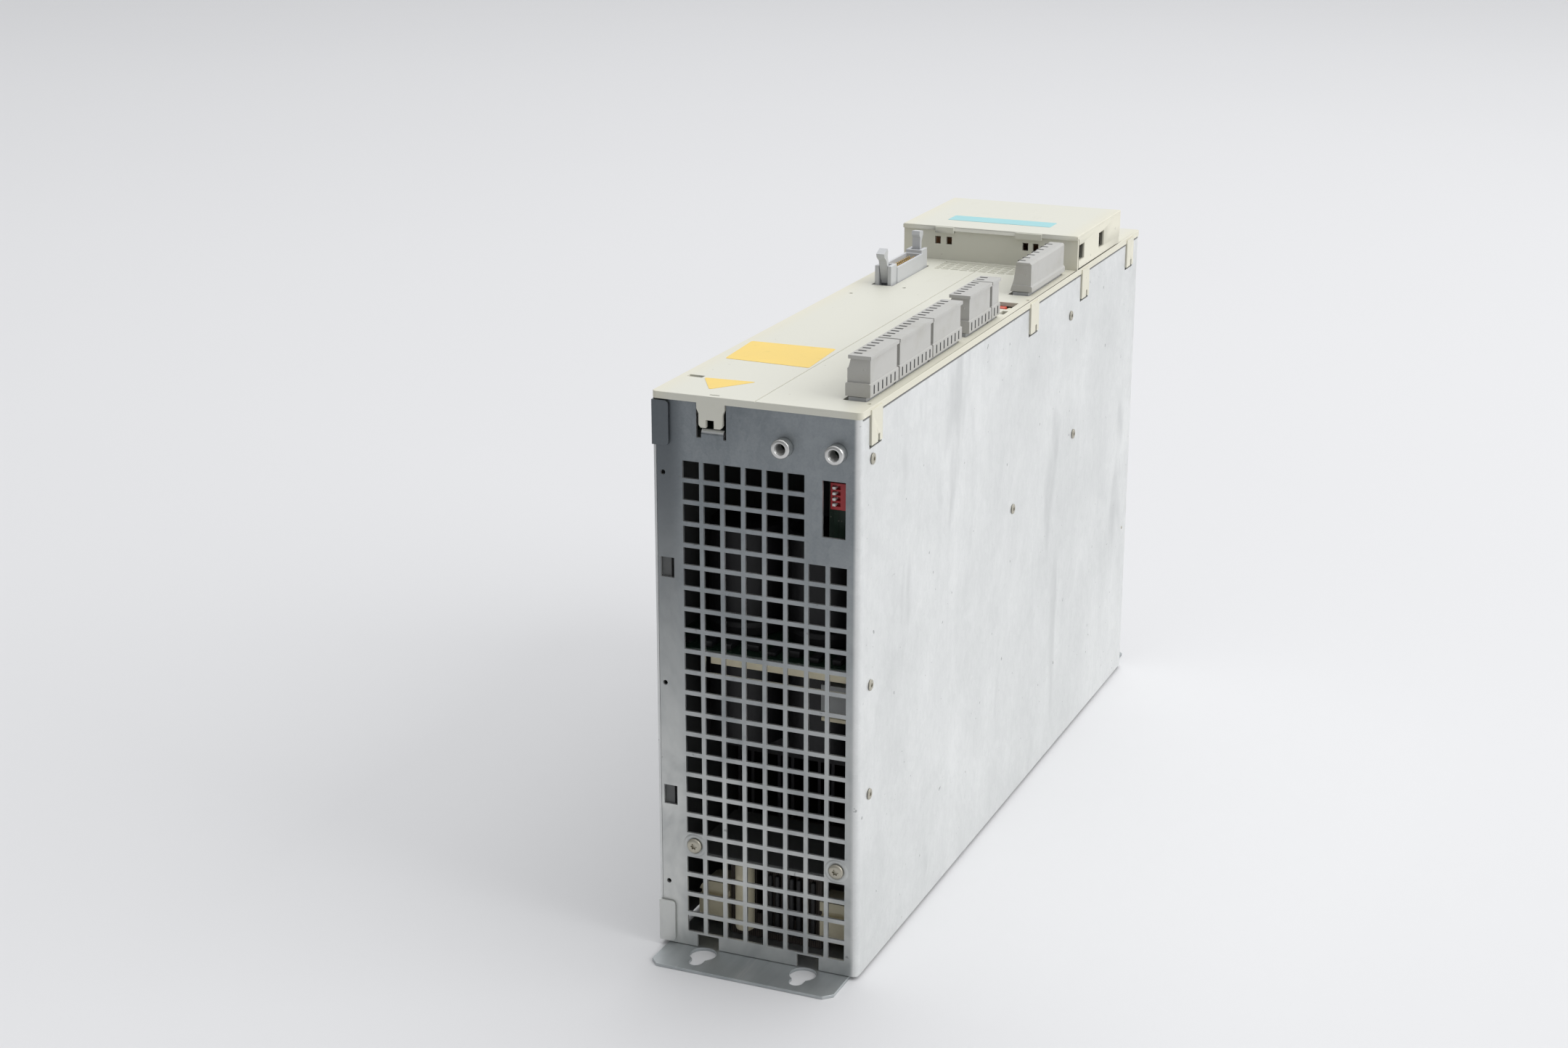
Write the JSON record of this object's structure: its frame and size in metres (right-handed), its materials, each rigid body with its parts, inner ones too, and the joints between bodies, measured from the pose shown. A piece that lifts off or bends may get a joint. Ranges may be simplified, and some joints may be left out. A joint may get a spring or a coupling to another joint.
{
  "type": "servo drive power supply module",
  "caption": "Narrow sheet-steel servo drive module with a slotted keyhole back plate, square-hole grille, beige front cover, pull-off terminal plugs, ribbon header, hinged lid and fan.",
  "frame": {"origin": "middle of the underside of the back plate, on the mounting plane", "axes": "+X towards the plain steel side, +Y along the length from the grille end to the fan end, +Z out of the front cover"},
  "size_m": [0.1, 0.48, 0.2873],
  "materials": {
    "mounting_plate": "darker zinc-plated steel plate, satin",
    "galvanised_sheet": "galvanised sheet steel, satin with a faint mottle",
    "beige_plastic": "moulded light beige plastic, fine matt texture",
    "zinc_screws": "yellowish zinc-plated steel, satin",
    "nickel_plated": "bright nickel-plated steel",
    "grey_plug_plastic": "moulded mid-grey plastic",
    "light_grey_plastic": "moulded light grey plastic",
    "black_plastic": "black plastic",
    "copper_bars": "bare copper, slightly dulled",
    "red_plastic": "red plastic",
    "white_plastic": "white plastic",
    "circuit_board": "dark green circuit board",
    "aluminium": "extruded aluminium, plain",
    "choke_core": "varnished laminations and winding",
    "cream_plastic": "cream plastic",
    "grey_plastic": "grey plastic"
  },
  "bodies": {
    "housing": {"back_plate": "mounting_plate", "main_shell": "galvanised_sheet", "left_panel": "galvanised_sheet", "front_cover": "beige_plastic", "face_screw_left": "zinc_screws", "threaded_bush_left": "nickel_plated", "face_screw_right": "zinc_screws", "threaded_bush_right": "nickel_plated", "side_screw_1": "zinc_screws", "side_screw_2": "zinc_screws", "side_screw_3": "zinc_screws", "side_screw_4": "zinc_screws", "side_screw_5": "zinc_screws", "side_screw_6": "zinc_screws", "terminal_header_a": "light_grey_plastic", "terminal_header_b": "light_grey_plastic", "terminal_header_c": "light_grey_plastic", "terminal_header_d": "light_grey_plastic", "terminal_header_e": "light_grey_plastic", "terminal_header_f": "light_grey_plastic", "ribbon_header": "light_grey_plastic", "busbar_block": "black_plastic", "busbar_plus": "copper_bars", "busbar_screw_plus": "zinc_screws", "busbar_minus": "copper_bars", "busbar_screw_minus": "zinc_screws", "coding_switch": "red_plastic", "coding_board": "circuit_board", "heatsink": "aluminium", "power_board": "circuit_board", "control_board": "circuit_board", "capacitor_1": "black_plastic", "capacitor_2": "black_plastic", "capacitor_3": "black_plastic", "capacitor_4": "black_plastic", "rectifier_module": "black_plastic", "choke_core": "choke_core", "choke_cheek_left": "cream_plastic", "choke_cheek_right": "cream_plastic", "choke_bracket": "galvanised_sheet", "suppressor_capacitor": "cream_plastic", "board_guide_strip": "cream_plastic", "air_baffle": "grey_plastic", "fan_frame": "black_plastic", "fan_guard": "nickel_plated"},
    "dc_link_lid": {"dc_link_lid": "beige_plastic"},
    "ejector_latch_near": {"ejector_latch_near": "light_grey_plastic"},
    "ejector_latch_far": {"ejector_latch_far": "light_grey_plastic"},
    "fan_rotor": {"fan_rotor": "black_plastic"},
    "terminal_plug_a": {"terminal_plug_a": "grey_plug_plastic"},
    "terminal_plug_b": {"terminal_plug_b": "grey_plug_plastic"},
    "terminal_plug_c": {"terminal_plug_c": "grey_plug_plastic"},
    "terminal_plug_d": {"terminal_plug_d": "grey_plug_plastic"},
    "terminal_plug_e": {"terminal_plug_e": "grey_plug_plastic"},
    "terminal_plug_f": {"terminal_plug_f": "grey_plug_plastic"},
    "coding_lever_1": {"coding_lever_1": "white_plastic"},
    "coding_lever_2": {"coding_lever_2": "white_plastic"},
    "coding_lever_3": {"coding_lever_3": "white_plastic"},
    "coding_lever_4": {"coding_lever_4": "white_plastic"}
  },
  "joints": [
    {"name": "dc_link_lid_hinge", "type": "hinge", "parent": "housing", "child": "dc_link_lid", "pos_m": [0, 0.172, 0.277], "axis": [1, 0, 0], "range_deg": [-110, 0]},
    {"name": "ejector_near_hinge", "type": "hinge", "parent": "housing", "child": "ejector_latch_near", "pos_m": [-0.0332, 0.0264, 0.2699], "axis": [1, 0, 0], "range_deg": [-18, 17]},
    {"name": "ejector_far_hinge", "type": "hinge", "parent": "housing", "child": "ejector_latch_far", "pos_m": [-0.0332, 0.0721, 0.2699], "axis": [-1, 0, 0], "range_deg": [0, 35]},
    {"name": "fan_spin", "type": "hinge", "parent": "housing", "child": "fan_rotor", "pos_m": [0, 0.1965, 0.104], "axis": [0, 1, 0], "continuous": true},
    {"name": "plug_a_pull", "type": "slide", "parent": "housing", "child": "terminal_plug_a", "axis": [0, 0, 1], "range_m": [0, 0.012]},
    {"name": "plug_b_pull", "type": "slide", "parent": "housing", "child": "terminal_plug_b", "axis": [0, 0, 1], "range_m": [0, 0.012]},
    {"name": "plug_c_pull", "type": "slide", "parent": "housing", "child": "terminal_plug_c", "axis": [0, 0, 1], "range_m": [0, 0.012]},
    {"name": "plug_d_pull", "type": "slide", "parent": "housing", "child": "terminal_plug_d", "axis": [0, 0, 1], "range_m": [0, 0.012]},
    {"name": "plug_e_pull", "type": "slide", "parent": "housing", "child": "terminal_plug_e", "axis": [0, 0, 1], "range_m": [0, 0.012]},
    {"name": "plug_f_pull", "type": "slide", "parent": "housing", "child": "terminal_plug_f", "axis": [0, 0, 1], "range_m": [0, 0.012]},
    {"name": "coding_lever_1_slide", "type": "slide", "parent": "housing", "child": "coding_lever_1", "axis": [1, 0, 0], "range_m": [0, 0.0015]},
    {"name": "coding_lever_2_slide", "type": "slide", "parent": "housing", "child": "coding_lever_2", "axis": [1, 0, 0], "range_m": [0, 0.0015]},
    {"name": "coding_lever_3_slide", "type": "slide", "parent": "housing", "child": "coding_lever_3", "axis": [1, 0, 0], "range_m": [0, 0.0015]},
    {"name": "coding_lever_4_slide", "type": "slide", "parent": "housing", "child": "coding_lever_4", "axis": [1, 0, 0], "range_m": [0, 0.0015]}
  ]
}
